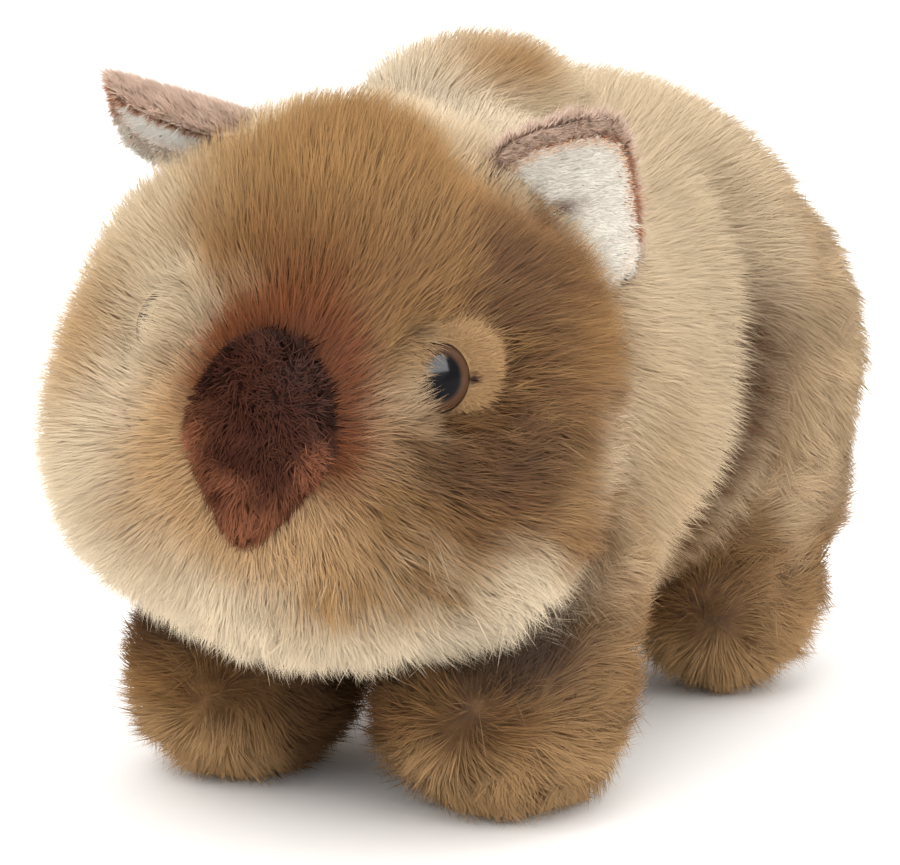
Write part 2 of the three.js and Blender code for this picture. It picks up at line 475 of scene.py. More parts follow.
def head_marks(q, noise, fine):
    """The head, for points in its own frame: a brown crown and near side over a cream muzzle and
    chin, and a rust blush above the nose and beside it. On the near side, the brown under the chin
    and beside the mouth is partly painted shade."""
    pile = Pile(q, fine, PALE, PALE_ROOT)
    x, y, z = q[:, 0], q[:, 1], q[:, 2]
    muzzle = 1 - ramp(far_off((q - vec(4, -62, -6)) / vec(1, 1, 0.72)) + 4 * noise, 28, 54)
    pile.spray(TAN * vec(1.1, 1, 0.9), TAN_ROOT, muzzle * 0.85)
    pile.spray(CREAM, CREAM_ROOT, ramp(z + 4 * noise, 0, 22) * 0.8)
    pile.spot(TAN, TAN_ROOT, (-57, -28, 6), (16, 24, 24), 0.95)
    # Brown under the chin on the near side: partly the plush's colour, partly painted shade.
    pile.spot(BROWN, TAN_ROOT, (24, -56, -37), (17, 14, 13), 1.0, 0.35)
    pile.spot(TAN, TAN_ROOT, (-32, -53, -32), (20, 14, 14), 0.55, 0.25)
    pile.spot(TAN * vec(0.9, 0.85, 0.8), TAN_ROOT, (-29, -60, -3), (14, 12, 19), 0.65, 0.2)
    front = 1 - ramp(y + 0.25 * np.abs(x) + 4 * noise, -6, 10) * ramp(z, 20, 44)
    crown = ramp(z + 0.25 * x + 5 * noise, 14, 34) * front
    pile.spray(TAN, TAN_ROOT, crown * ramp(x + 5 * noise, -56, -30))
    pile.spray(BROWN, BROWN_ROOT, crown * ramp(x + 5 * noise, -36, -10))
    pile.spray(DARK, DARK_ROOT, crown * bell(q, (2, -46, 40), (24, 12, 12)) * 0.35)
    edge = z + 0.35 * x + 5 * noise
    near = ramp(x + 5 * noise, 28, 42) * ramp(edge, -12, 6) * (1 - ramp(y + 4 * noise, 4, 16))
    pile.spray(BROWN, BROWN_ROOT, near)
    paler = 1 - 0.55 * bell(q, (62, -6, 22), (14, 14, 14))
    pile.spray(DARK * 0.93, DARK_ROOT, near * (0.74 + 0.5 * fine) * paler)
    pile.spot(DARK * 0.9, DARK_ROOT, (47, -22, 41), (14, 12, 10), 0.8, 0.3)
    pile.spot(TAN, TAN_ROOT, (65, -22, -9), (9, 12, 12), 0.6)
    under = bell(q, (39, -51, -3), (12, 12, 12)) + 0.85 * bell(q, (54, -34, -1), (12, 14, 11))
    pile.spray(DARK * 0.75, DARK_ROOT * 0.7, under * (1.1 + 0.4 * fine))
    # Brown beside the mouth and down the jaw on the near side: partly the plush's colour, partly painted
    # shade.
    lip_and_painted_shade = 1.2 * bell(q, (33, -57, -13), (11, 11, 11)) + 1.1 * bell(q, (42, -47, -31), (15, 13, 10))
    pile.spray(BROWN * 0.8, DARK_ROOT, lip_and_painted_shade * (0.85 + 0.35 * fine))
    jaw = 0.3 * bell(q, (57, -32, -30), (12, 22, 7)) + 0.9 * bell(q, (69, -2, -2), (6, 8, 14))
    pile.spray(CREAM, CREAM_ROOT, jaw)
    n = (q - NOSE_AT) / vec(NOSE_WIDE, 1, NOSE_HIGH)
    halo = 1 - ramp(np.hypot(n[:, 0], n[:, 2]) + 0.08 * fine, 1.08, 1.8)
    halo *= ramp(n[:, 2] + 0.25 * n[:, 0], -0.5, 0.3) * (y < -35)
    rust = 1.15 * halo + 0.5 * bell(q, (-3, -50, 38), (26, 16, 14))
    pile.spray(RUST * 0.92, RUST_ROOT, rust * (1 + 0.2 * noise + 0.15 * fine))
    pile.spot(NOSE_DARK * 1.3, RUST_ROOT * 0.7, (-1, -62, 22), (12, 10, 4), 0.8)
    return pile


def eye_marks(q, pile):
    """The tan patch trimmed round each eye and the dark speck at the eye's corner, by their roots."""
    near = ramp(q[:, 0], -1, 1)[:, None]
    pile.spray(CREAM * 0.8 * (1 - near) + TAN * vec(0.83, 0.77, 0.7) * near, TAN_ROOT, eye_patch(q))
    corner = left_side(q) - vec(37.3, -35.2, 15.0)
    pile.spray(RUST_ROOT * 0.3, RUST_ROOT * 0.2, 1 - ramp(far_off(corner), 0.9, 1.7))


def fold_painted_shade(p):
    """Painted shade in the fold of the flank, by how far a point lies behind the fold's line at its
    own height: most on the fold's rear wall and fading over the haunch."""
    line = np.array(FOLDS[1][0][::-1] + FOLDS[0][0][::-1])
    behind = p[:, 1] - np.interp(p[:, 2], line[:, 2], line[:, 1])
    band = ramp(behind, 1, 7) * (1 - 0.35 * ramp(behind, 12, 20) - 0.65 * ramp(behind, 20, 38))
    return band * (1 - 0.85 * ramp(p[:, 2], 92, 126)) * ramp(np.abs(p[:, 0]), 30, 50)


def body_marks(p, noise, fine):
    """The body: cream, browner on the hump and on the haunches. Painted shade lies down in the sewn
    folds, under the head's rim and on the hump's near side, and painted rim light along the top
    behind the head.
    """
    pile = Pile(p, fine, CREAM, CREAM_ROOT)
    # Paler, bluer pile along the top behind the head: pale fur, partly painted rim light.
    pile.spot(PALE * vec(1, 1.04, 1.1), PALE_ROOT, (0, -62, 164), (60, 30, 20), 0.95)
    # The hump's own tan and brown, laid on its near side only, where it also stands for painted shade in the
    # valley beside the back.
    hump = bell(p, (16, -13, 172), (19, 22, 9)) * (1 + 0.2 * noise)
    pile.spray(TAN, TAN_ROOT, hump * 0.9)
    pile.spray(BROWN * 0.9, BROWN_ROOT, hump * 0.85)
    haunch = ramp(p[:, 1] + 0.3 * (130 - p[:, 2]) + 5 * noise, 44, 66) * (1 - 0.6 * ramp(p[:, 1], 70, 100))
    pile.spray(TAN, TAN_ROOT, haunch * 0.55)
    pile.spray(TAN, TAN_ROOT, (1 - ramp(p[:, 2] + 6 * noise, 40, 74)) * 0.5)
    # Painted shade: greyer tan on the front of the flank just under the head's rim.
    pile.spray(TAN * vec(1, 1.05, 1.1), TAN_ROOT, bell(left_side(p), (64, -34, 76), (16, 24, 26)) * 0.45)
    # Painted shade down the fold of the flank.
    pile.spray(DARK * 0.74, DARK_ROOT * 0.7, fold_painted_shade(p) * (0.95 + 0.3 * fine))
    return pile


def leg_marks(p, whorl, high, noise, fine):
    """A leg: brown, darkest at its whorl, and tan outside and toward the haunch or shoulder. Painted
    shade lies under the chin, on the inner side and where the flank's fold runs onto it."""
    q = left_side(p)
    pile = Pile(q, fine, BROWN, BROWN_ROOT)
    pile.spray(DARK, DARK_ROOT * 0.75, 0.5 + 0.35 * fine)
    pile.spray(TAN, TAN_ROOT * 0.8, ramp(q[:, 0] + 4 * noise, 50, 66) * 0.45)
    pile.spray(TAN * 1.15, BROWN_ROOT * 0.8, (1 - ramp(q[:, 2] + 4 * noise, 11, 28)) * 0.85)
    pile.spray(TAN, TAN_ROOT, ramp(q[:, 2] + 5 * noise, high - 8, high + 20) * 0.8)
    shoulder = ramp(q[:, 0] + 4 * noise, 58, 70) * ramp(q[:, 2] + 6 * noise, high - 24, high)
    pile.spray(CREAM, CREAM_ROOT, shoulder * 0.5)
    dark = bell(from_whorl(p, whorl), (0, 0, 0), (9, 12, 9)) * (0.95 + 0.3 * fine)
    pile.spray(DARK * 0.42, DARK_ROOT * 0.4, dark)
    # Painted shadow of the chin on the top of the front leg.
    pile.spot(DARK * 0.4, DARK_ROOT * 0.4, (48, -91, 49), (27, 20, 14), 1.6, 0.2)
    # Painted shade on the inner side of each leg, between the legs and under the body.
    pile.spray(DARK * 0.5, DARK_ROOT * 0.6, (1 - ramp(q[:, 0] + 2 * noise, 8, 28)) * 0.9)
    # Painted shade where the flank's fold runs onto the leg.
    pile.spray(DARK * 0.9, DARK_ROOT * 0.7, fold_painted_shade(p) * (0.7 + 0.3 * fine) * ramp(q[:, 2], 40, 60))
    return pile


def coat_marks(p, share, root):
    """Tip and root colours, each region's own mixed by its share. The marks go by where the pile is
    seen, and the trimmed patches by where it grows."""
    noise = waves(p, 30, SEED) * 0.7 + waves(p, 13, SEED + 1) * 0.4
    fine = waves(p, 6, SEED + 2) * 0.8 + waves(p, 3, SEED + 3) * 0.4
    head = head_marks(to_head(p), noise, fine)
    eye_marks(to_head(root), head)
    found = [
        head,
        body_marks(p, noise, fine),
        leg_marks(p, FRONT_WHORL, 58, noise, fine),
        leg_marks(p, REAR_WHORL, 58, noise, fine),
        body_marks(p, noise, fine),
    ]
    tips = sum(pile.tip * share[:, k : k + 1] for k, pile in enumerate(found))
    roots = sum(pile.root * share[:, k : k + 1] for k, pile in enumerate(found))
    mottle = (1 + 0.05 * noise + 0.04 * fine)[:, None]
    return tips * mottle, roots * mottle


def region_share(p, spread=3.0):
    """How much each region counts at a point: most where its form is nearest, in a soft blend."""
    d = region_distances(p)
    w = np.exp(-(d - d.min(axis=1, keepdims=True)) / spread)
    return w / w.sum(axis=1, keepdims=True)


def coat_lie(p, share):
    """The way the pile is brushed: away from the nose on the head and away from each eye on its
    patch, back and down on the body, down the legs, and away from the whorl of each paw."""
    q = to_head(p)
    eye = EYE_AT * side_of(q)
    brow = ramp(q[:, 2], 12, 40) * (1 - ramp(np.abs(q[:, 0]), 18, 50))
    away = (q - NOSE_AT - vec(0, 10, 0)) * np.stack([1 - 0.6 * brow, np.ones(len(p)), 1 + 0.3 * brow], axis=1)
    head = unit(away) + vec(0, 0.25, -0.12)
    guard = eye_guard(q)
    head = mix(head, unit(q - eye), eye_patch(q) * 0.7 * (1 - guard))
    head = mix(unit(head), unit(eye - q), guard) @ HEAD_AXES.T
    down = 0.1 + 0.5 * ramp(np.abs(p[:, 0]), 10, 60) + 0.5 * ramp(p[:, 1], 40, 100)
    down -= 0.2 * ramp(p[:, 2], 90, 140)
    body = np.stack([0 * p[:, 0], 1 + 0 * p[:, 0], -down], axis=1)
    lies = [head, body]
    for whorl, top in ((FRONT_WHORL, 40), (REAR_WHORL, 42)):
        away = unit(from_whorl(p, whorl))
        upper = ramp(p[:, 2], top, top + 30)[:, None]
        lies.append(away * (1 - upper) + vec(0, 0.35, -1) * upper)
    lies.append(np.tile(vec(0, 0.6, -0.8), (len(p), 1)))
    return sum(lie * share[:, k : k + 1] for k, lie in enumerate(lies))


def chance(cell, salt):
    """A repeatable random value from 0 to 1 for each row of whole numbers."""
    mixed = cell[:, 0] * 73856093 ^ cell[:, 1] * 19349663 ^ cell[:, 2] * 83492791 ^ salt * 2654435761
    mixed = (mixed ^ (mixed >> 13)) * 1274126177 & 0x7FFFFFFF
    mixed = (mixed ^ (mixed >> 15)) * 1103515245 & 0x7FFFFFFF
    return mixed / 0x7FFFFFFF


def locks(p, size, salt):
    """The lock each point belongs to: the nearest of middles that lie at random, one in each cube
    of space. Gives the way to that middle and the lock's own value."""
    home = np.floor(p / size).astype(np.int64)
    best, way, value = np.full(len(p), 1e9), np.zeros_like(p), np.zeros(len(p))
    for step in np.ndindex(3, 3, 3):
        cell = home + np.array(step) - 1
        middle = (cell + np.stack([chance(cell, salt + k) for k in range(3)], axis=1)) * size
        far = far_off(middle - p)
        nearer = far < best
        best = np.where(nearer, far, best)
        way = np.where(nearer[:, None], middle - p, way)
        value = np.where(nearer, chance(cell, salt + 3), value)
    return way, value


def scatter(points, normals, triangles, weight, count, rng):
    """Roots on a mesh: its faces are laid end to end by area times weight, and the roots fall at
    about even steps along them, each at a random place in its face."""
    a, b, c = (points[triangles[:, k]] for k in range(3))
    area = far_off(np.cross(b - a, c - a)) / 2 * weight[triangles].mean(axis=1)
    ends = np.cumsum(area)
    picks = np.searchsorted(ends, (np.arange(count) + rng.random(count)) / count * ends[-1])
    picks = np.minimum(picks, len(triangles) - 1)
    r1, r2 = np.sqrt(rng.random(count)), rng.random(count)
    w = np.stack([1 - r1, r1 * (1 - r2), r1 * r2], axis=1)
    tri = triangles[picks]
    root = (points[tri] * w[:, :, None]).sum(axis=1)
    normal = unit((normals[tri] * w[:, :, None]).sum(axis=1))
    return root, normal


def across_only(v, normal):
    """The part of each row that runs along the surface."""
    return v - normal * (v * normal).sum(axis=1, keepdims=True)


def tuft_arrays(root, normal, lie, depth, width, lift, bend, gather, rng):
    """Thin tufts, each a closed spindle of four points: its foot, the two sides of its widest place
    and its tip. It leaves the root at the angle lift from the normal and goes on from its widest
    place at the angle bend, both toward the lie, so long that its tip stands depth above the root.
    Gather draws the tip aside. Also gives the way each point faces: the skin's normal, leaned a
    little to the tuft's own upper side."""
    n = len(root)
    along = unit(across_only(lie, normal))
    across = np.cross(normal, along)
    low = normal * np.cos(lift)[:, None] + along * np.sin(lift)[:, None]
    high = normal * np.cos(bend)[:, None] + along * np.sin(bend)[:, None]
    length = (depth / (KNEE * np.cos(lift) + (1 - KNEE) * np.cos(bend)))[:, None]
    knee = root + low * length * KNEE + gather * KNEE
    tip = root + low * length * KNEE + high * length * (1 - KNEE) + gather
    foot = root - low * 0.6
    up = np.cross(unit(low + high), across)
    spin = np.radians(24) * rng.normal(size=n)
    side = across * np.cos(spin)[:, None] + up * np.sin(spin)[:, None]
    facing = normal + up * 0.3 + 0.1 * rng.normal(size=(n, 3))
    points = np.stack([foot, knee - side * width[:, None], knee + side * width[:, None], tip], axis=1)
    return points, unit(np.stack([facing, facing - side * 0.2, facing + side * 0.2, facing], axis=1))


# How far along a tuft its widest place is, and the corners of its four sides, which lie side by
# side in one small square of the bake map.
KNEE = 0.45
TUFT_FACES = np.array([[0, 1, 2], [1, 3, 2], [0, 3, 1], [0, 2, 3]])
PATCH = 0.003
TUFT_PATCH = np.array([[[k, 0], [k + 1, 0], [k + 0.5, 4]] for k in range(4)]).reshape(-1, 2)
TUFT_PATCH = TUFT_PATCH * PATCH / 4 - PATCH / 2


def tuft_object(name, shape, tips, roots, home):
    """Tufts as one object, with their colours and their squares on the bake map."""
    points, facing = shape
    n = len(points)
    faces = (TUFT_FACES[None] + 4 * np.arange(n)[:, None, None]).reshape(-1, 3)
    made = new_mesh(name, points.reshape(-1, 3), [faces])
    mesh = made.data
    middle = tips * 0.7 + roots * 0.3
    shades = np.stack([roots, middle, middle, tips], axis=1)
    shade_points(made, shades.reshape(-1, 3))
    uv = mesh.uv_layers.new(name="OFBake")
    places = home[:, None, :] + TUFT_PATCH[None]
    uv.data.foreach_set("uv", flat(places))
    if facing is not None:
        layer = mesh.attributes.new("custom_normal", "FLOAT_VECTOR", "POINT")
        layer.data.foreach_set("vector", flat(facing))
    return made


# Each region's place on the bake map: its left, bottom, width and height.
SHEETS = {
    "head": (0.01, 0.01, 0.54, 0.48),
    "torso": (0.01, 0.51, 0.60, 0.48),
    "front": (0.57, 0.01, 0.42, 0.24),
    "rear": (0.57, 0.26, 0.42, 0.24),
    "tail": (0.63, 0.51, 0.10, 0.10),
}


def bake_home(p, region):
    """A root's place on an unwrap of its own form: its turn about the form's upright line runs
    across the sheet and its height angle up it. Left and right legs share a sheet's two halves."""
    left, bottom, wide, high = SHEETS[region]
    centre = FORMS[region]["centre"]
    legs = region in ("front", "rear")
    way = unit((to_head(p) if region == "head" else p * side_of(p) if legs else p) - centre)
    across = np.arctan2(way[:, 0], -way[:, 1]) / (2 * np.pi) + 0.5
    up = np.arccos(np.clip(-way[:, 2], -1, 1)) / np.pi
    if legs:
        across = (across * 0.98 + (p[:, 0] > 0)) / 2
    return np.stack([left + across * wide, bottom + up * high], axis=1)


def skin_colours(made):
    """The skin carries the coat's own root colours, a little toward the tips'."""
    points, _, _ = mesh_arrays(made.data)
    tips, roots = coat_marks(points, region_share(points), points)
    shade_points(made, roots * 0.7 + tips * 0.3)


COAT_COUNT = 325000
PIECE_TUFTS = 49000
DENSITY = np.array([1.25, 0.9, 1.15, 0.95, 0.9])
FINE_SHARE, FINE_WIDTH, WIDE_WIDTH = 0.72, 0.068, 0.12
QUICK_WIDER = 1

# How many degrees a tuft leans, how much that varies, and its limits.
LEAN, LEAN_VARIES, LEAN_LEAST, LEAN_MOST = 47, 9, 8, 58

# The sizes of the locks and of the small ones in them, and the lowest that a tuft may reach.
LOCK, SMALL_LOCK, LOWEST = 6.5, 2.2, 0.25


def eye_spin(sign):
    """The turn of an eye as a matrix: tipped up about X, then turned outward about Z."""
    return spin(2, sign * EYE_TURN) @ spin(0, -EYE_TIP)


def bare(p):
    """True where no pile grows: under the nose pad and under an eye."""
    q = to_head(p)
    n = (q - NOSE_AT) / vec(NOSE_WIDE, NOSE_DEEP, NOSE_HIGH)
    narrow = 1 - NOSE_TAPER * np.maximum(0, -n[:, 2])
    pad = ((n[:, 0] / np.maximum(narrow, 0.3)) ** 2 + n[:, 2] ** 2 < 0.6) & (q[:, 1] < -40)
    r = left_side(q) - EYE_AT
    face = eye_spin(1) @ vec(0, -1, 0)
    off = far_off(r - face * (r @ face)[:, None])
    return pad | ((off < EYE_RADIUS * np.where(q[:, 0] > 0, 1.02, 0.9)) & (far_off(r) < 14))


def by_ear(q):
    """One along the foot of each ear, for points in the head's frame, falling to zero 15 mm away."""
    return 1 - ramp(np.minimum(*(line_gap(q, points) for points in EAR_FEET)), 6, 15)


def eye_guard(q):
    """One on the nose side of each eye, where the pile stands up and partly hides the eye."""
    r = left_side(q) - EYE_AT
    inner = r @ (eye_spin(1) @ vec(-1, 0, 0))
    return (1 - ramp(far_off(r), 11.5, 15)) * ramp(inner, 1, 5)


def make_coat(skin):
    """The pile: roots all over the skin, brushed along the lie, gathered into small and larger
    locks and joined region by region. Fine tufts stand over shorter, wider ones."""
    rng = np.random.default_rng(SEED)
    points, normals, triangles = mesh_arrays(skin.data)
    weight = region_share(points) @ DENSITY
    near_eyes = to_head(points)
    weight *= 1 + (1.6 * eye_patch(near_eyes) + 2.5 * eye_guard(near_eyes)) * (points[:, 1] < -60)
    root, normal = scatter(points, normals, triangles, weight, COAT_COUNT, rng)
    keep = ~bare(root)
    root, normal = root[keep], normal[keep]
    share = region_share(root)
    region = share.argmax(axis=1)
    n = len(root)
    q = to_head(root)
    depth = sum(
        share[:, k] * pile_depth(name, q if name == "head" else root) for k, name in enumerate(REGIONS)
    )
    trimmed = eye_patch(q) * share[:, 0]
    guard = eye_guard(q) * share[:, 0]
    depth = depth * (1 - 0.5 * trimmed) * (1 - 0.85 * by_ear(q))
    depth = depth * (1 - guard) + np.where(q[:, 0] > 0, BANK_NEAR, BANK_FAR) * guard
    paw = share[:, 2] + share[:, 3]
    cheek = share[:, 0] * ramp(-q[:, 2] + 0.8 * q[:, 0], 4, 44)
    shaggy = np.clip(paw + cheek, 0, 1) * (1 - trimmed)
    lie = unit(coat_lie(root, share))
    lie += (0.1 + 0.2 * shaggy + 0.2 * paw)[:, None] * drift(root, 24, 20)
    lie += (0.08 + 0.27 * shaggy + 0.3 * paw)[:, None] * drift(root, 10, 30)
    lie = unit(lie + 0.2 * rng.normal(size=(n, 3)))
    way, value = locks(root, LOCK, 3)
    near_way, near_value = locks(root, SMALL_LOCK, 7)
    way, near_way = across_only(way, normal), across_only(near_way, normal)
    edge = np.clip(far_off(way) / 4.5, 0, 1)
    soft = 1 - 0.85 * trimmed
    gather = way * ((0.03 + 0.2 * shaggy + 0.12 * paw) * soft)[:, None]
    gather = gather + near_way * ((0.06 + 0.25 * shaggy) * soft)[:, None]
    fine = rng.random(n) < FINE_SHARE
    tall = depth * np.where(fine, rng.uniform(0.66, 1.1, n), rng.uniform(0.5, 0.9, n))
    tall *= 1 - (0.03 + 0.14 * shaggy) * edge ** 2 + (0.03 + 0.09 * shaggy) * (value - 0.5) * 2
    lean = LEAN + LEAN_VARIES * rng.normal(size=n) + 5 * (near_value - 0.5)
    lift = np.radians(np.clip(lean, LEAN_LEAST, LEAN_MOST) * (1 - guard * 0.3))
    bend = lift + np.radians(3 + rng.random(n))
    width = np.where(fine, FINE_WIDTH, WIDE_WIDTH) * (1 + 0.3 * shaggy - 0.2 * paw) * QUICK_WIDER
    width = width * rng.uniform(0.75, 1.25, n)
    shape = tuft_arrays(root, normal, lie, tall, width, lift, bend, gather, rng)
    shape[0][:, :, 2] = np.maximum(shape[0][:, :, 2], LOWEST)
    tips, roots = coat_marks(root * 0.2 + shape[0][:, 3] * 0.8, share, root)
    shade = 1 + 0.05 * rng.normal(size=n) + 0.03 * (near_value - 0.5) * 2
    shade = shade + (0.02 + 0.05 * shaggy) * (value - 0.5) * 2
    tips, roots = np.clip(tips * shade[:, None], 0, 1), np.clip(roots * shade[:, None], 0, 1)
    pieces = []
    for k, name in enumerate(REGIONS):
        mine = np.where(region == k)[0]
        parts = max(1, int(np.ceil(len(mine) / PIECE_TUFTS)))
        for j, some in enumerate(np.array_split(mine, parts)):
            home, part = bake_home(root[some], name), (shape[0][some], shape[1][some])
            pieces.append(tuft_object(f"pile_{name}_{j + 1}", part, tips[some], roots[some], home))
    return pieces


def node_material(name, base, roughness, specular=0.2):
    """A principled material with its plain values set on the shader's own sockets."""
    made = bpy.data.materials.new(name)
    made.use_nodes = True
    shader = made.node_tree.nodes["Principled BSDF"]
    shader.inputs["Base Color"].default_value = (*base, 1)
    shader.inputs["Roughness"].default_value = roughness
    shader.inputs["Specular IOR Level"].default_value = specular
    return made, made.node_tree.nodes, made.node_tree.links, shader


def laid(nodes, name):
    """A node that reads what was laid on the points under a name."""
    made = nodes.new("ShaderNodeAttribute")
    made.attribute_name = name
    return made


def grain_of(nodes, links, scale, detail=2):
    """A noise that reads Object coordinates, which are metres."""
    place, made = nodes.new("ShaderNodeTexCoord"), nodes.new("ShaderNodeTexNoise")
    made.inputs["Scale"].default_value, made.inputs["Detail"].default_value = scale, detail
    links.new(place.outputs["Object"], made.inputs["Vector"])
    return made


def pile_material(name):
    """Plush fibre: the colour laid on each point, a little uneven from fibre to fibre."""
    made, nodes, links, shader = node_material(name, (0.6, 0.5, 0.4), 0.7, 0.07)
    shade, grain = laid(nodes, "coat"), grain_of(nodes, links, 260, 3)
    level = nodes.new("ShaderNodeMapRange")
    level.inputs["To Min"].default_value, level.inputs["To Max"].default_value = 0.9, 1.1
    tint = nodes.new("ShaderNodeMix")
    tint.data_type, tint.blend_type = "RGBA", "MULTIPLY"
    tint.inputs["Factor"].default_value = 1
    links.new(grain.outputs["Fac"], level.inputs["Value"])
    links.new(shade.outputs["Color"], tint.inputs[6])
    links.new(level.outputs["Result"], tint.inputs[7])
    links.new(tint.outputs[2], shader.inputs["Base Color"])
    return made


def cloth_material(name):
    """Backing cloth: the laid colour, broken up by a fine knit."""
    made, nodes, links, shader = node_material(name, (0.5, 0.4, 0.3), 0.95)
    knit = grain_of(nodes, links, 900)
    links.new(laid(nodes, "coat").outputs["Color"], shader.inputs["Base Color"])
    bump = nodes.new("ShaderNodeBump")
    bump.inputs["Strength"].default_value = 0.6
    bump.inputs["Distance"].default_value = 0.0006
    links.new(knit.outputs["Fac"], bump.inputs["Height"])
    links.new(bump.outputs["Normal"], shader.inputs["Normal"])
    return made


def cap_grid(around, rings):
    """The ball grid laid over, with Y as its pole line."""
    rays, faces = ball_grid(around, rings)
    return np.stack([rays[:, 0], rays[:, 2], -rays[:, 1]], axis=1), faces


def make_eye(side, sign):
    """A domed plastic disc: a ball squeezed front to back, fuller in front, turned outward. Each
    point carries its distance from the pupil, which lies a little to the nose side of the middle
    and which the painted rings follow."""
    rays, faces = cap_grid(72, 48)
    full = np.where(rays[:, 1] < 0, EYE_DEEP, EYE_DEEP * 0.8)
    q = rays * np.stack([np.full(len(rays), EYE_RADIUS), full, np.full(len(rays), EYE_RADIUS)], axis=1)
    made = new_mesh(f"eye_dome_{side}", from_head(q @ eye_spin(sign).T + EYE_AT * vec(sign, 1, 1)), faces)
    inward = sign * 1.8 * np.clip(1 - (np.hypot(q[:, 0], q[:, 2]) / EYE_RADIUS) ** 2, 0, 1)
    far = np.hypot(q[:, 0] + inward, q[:, 2]) / EYE_RADIUS
    layer = made.data.attributes.new("ring", "FLOAT", "POINT")
    layer.data.foreach_set("value", far.astype(np.float32))
    return made


def eye_material():
    """Moulded eye: a black pupil, a brown iris with soft flecks and a dark rim, under gloss."""
    made, nodes, links, shader = node_material("eye_gloss", (0.05, 0.03, 0.02), 0.13, 0.075)
    ring, flecks = laid(nodes, "ring"), grain_of(nodes, links, 900)
    wobble = nodes.new("ShaderNodeMath")
    wobble.operation = "MULTIPLY_ADD"
    wobble.inputs[1].default_value = 0.05
    bands = nodes.new("ShaderNodeValToRGB")
    black, rim = (0.004, 0.004, 0.005), (0.012, 0.008, 0.006)
    stops = [(0.0, black), (0.62, black), (0.67, (0.025, 0.014, 0.009)), (0.74, (0.066, 0.032, 0.016)),
             (0.88, (0.08, 0.037, 0.018)), (0.95, (0.025, 0.014, 0.009)), (1.0, rim)]
    while len(bands.color_ramp.elements) < len(stops):
        bands.color_ramp.elements.new(0.5)
    for stop, (at, shade) in zip(bands.color_ramp.elements, stops):
        stop.position, stop.color = at, (*shade, 1)
    links.new(flecks.outputs["Fac"], wobble.inputs[0])
    links.new(ring.outputs["Fac"], wobble.inputs[2])
    links.new(wobble.outputs["Value"], bands.inputs["Fac"])
    links.new(bands.outputs["Color"], shader.inputs["Base Color"])
    return made


def nose_surface(rays, grow):
    """The nose pad's shield in the head's frame: a ball with three radii that narrows toward the
    lower tip, and whose sides go straight back behind its widest line."""
    sides = np.where(rays[:, 1] > 0, 1 / np.clip(np.hypot(rays[:, 0], rays[:, 2]), 0.6, 1), 1)
    rays = rays * np.stack([sides, np.ones(len(rays)), sides], axis=1)
    narrow = 1 - NOSE_TAPER * np.maximum(0, -rays[:, 2]) - 0.1 * np.maximum(0, rays[:, 2])
    radii = np.stack([NOSE_WIDE * narrow, 0 * narrow + NOSE_DEEP, 0 * narrow + NOSE_HIGH], axis=1)
    return NOSE_AT + rays * (radii + grow)


def nose_shades(q, noise):
    """Dark red-brown above, paler and redder toward the lower tip, with painted light along the lower
    rim and on the far side.
    """
    n = (q - NOSE_AT) / vec(NOSE_WIDE, NOSE_DEEP, NOSE_HIGH)
    low = ramp(-n[:, 2] + 0.18 * noise, 0.0, 0.75)
    # Painted light: lighter along the lower rim of the pad and on its far side.
    rim = ramp(np.hypot(n[:, 0] * 1.2, n[:, 2]) + 0.12 * noise, 0.6, 0.95) * ramp(-n[:, 2], -0.35, 0.1)
    far_side_painted_light = ramp(-n[:, 0] + 0.1 * noise, 0.2, 0.85) * ramp(-n[:, 2], -0.5, 0) * 0.95
    return mix(np.tile(NOSE_DARK, (len(q), 1)), NOSE_RED, np.maximum(np.maximum(low * 0.85, rim), far_side_painted_light))


def short_pile(name, ground, depth, width, shades, home, rng, dark=0.42, lift=42, bend=50, pull=0.35,
               free=False, toward=0):
    """Trimmed pile on a small piece, gathered into small locks. Its ground is its roots, their
    normals and its lie, and dark is how light its roots are beside its tips. Free pile, on a thin
    leaf, is shaded by its own shape, and other pile as if turned toward a given way."""
    root, normal, lie = ground
    n = len(root)
    lie = unit(lie + 0.3 * drift(root, 7, 60) + 0.2 * rng.normal(size=(n, 3)))
    way, value = locks(root, 4.0, 11)
    gather = across_only(way, normal) * pull
    lean = np.radians(np.clip(lift + 9 * rng.normal(size=n), 3, 66))
    bow = lean + np.radians(bend - lift)
    tall = depth * rng.uniform(0.6, 1.08, n) * (0.9 + 0.2 * value)
    shape = tuft_arrays(root, normal, lie, tall, width * rng.uniform(0.75, 1.25, n), lean, bow, gather, rng)
    level = (1 + 0.08 * rng.normal(size=n) + 0.16 * (value - 0.5))[:, None]
    tips = np.clip(shades * level, 0, 1)
    facing = None if free else unit(shape[1] + toward)
    return tuft_object(name, (shape[0], facing), tips, tips * dark, home)


def make_nose():
    """The nose pad and its short pile, brushed down and outward from its upper edge."""
    rng = np.random.default_rng(SEED + 5)
    rays, faces = cap_grid(64, 40)
    pad = new_mesh("nose_pad", from_head(nose_surface(rays, -2.8)), faces)
    points, normals, triangles = mesh_arrays(pad.data)
    q = to_head(points)
    shade_points(pad, nose_shades(q, 0 * q[:, 0]) * 0.5)
    weight = ramp(-q[:, 1], 55.5, 58.5)
    root, normal = scatter(points, normals, triangles, weight, 12000, rng)
    q = to_head(root)
    lie = unit(q - NOSE_AT - vec(0, 6, 9)) @ HEAD_AXES.T
    shades = nose_shades(q, waves(root, 9, SEED + 53))
    home = np.stack([0.75 + 0.12 * (q[:, 0] / 50 + 0.5), 0.53 + 0.12 * (q[:, 2] / 60 + 0.5)], axis=1)
    width = 0.17
    return pad, short_pile("nose_pile", (root, normal, lie), 2.9, width, shades, home, rng)


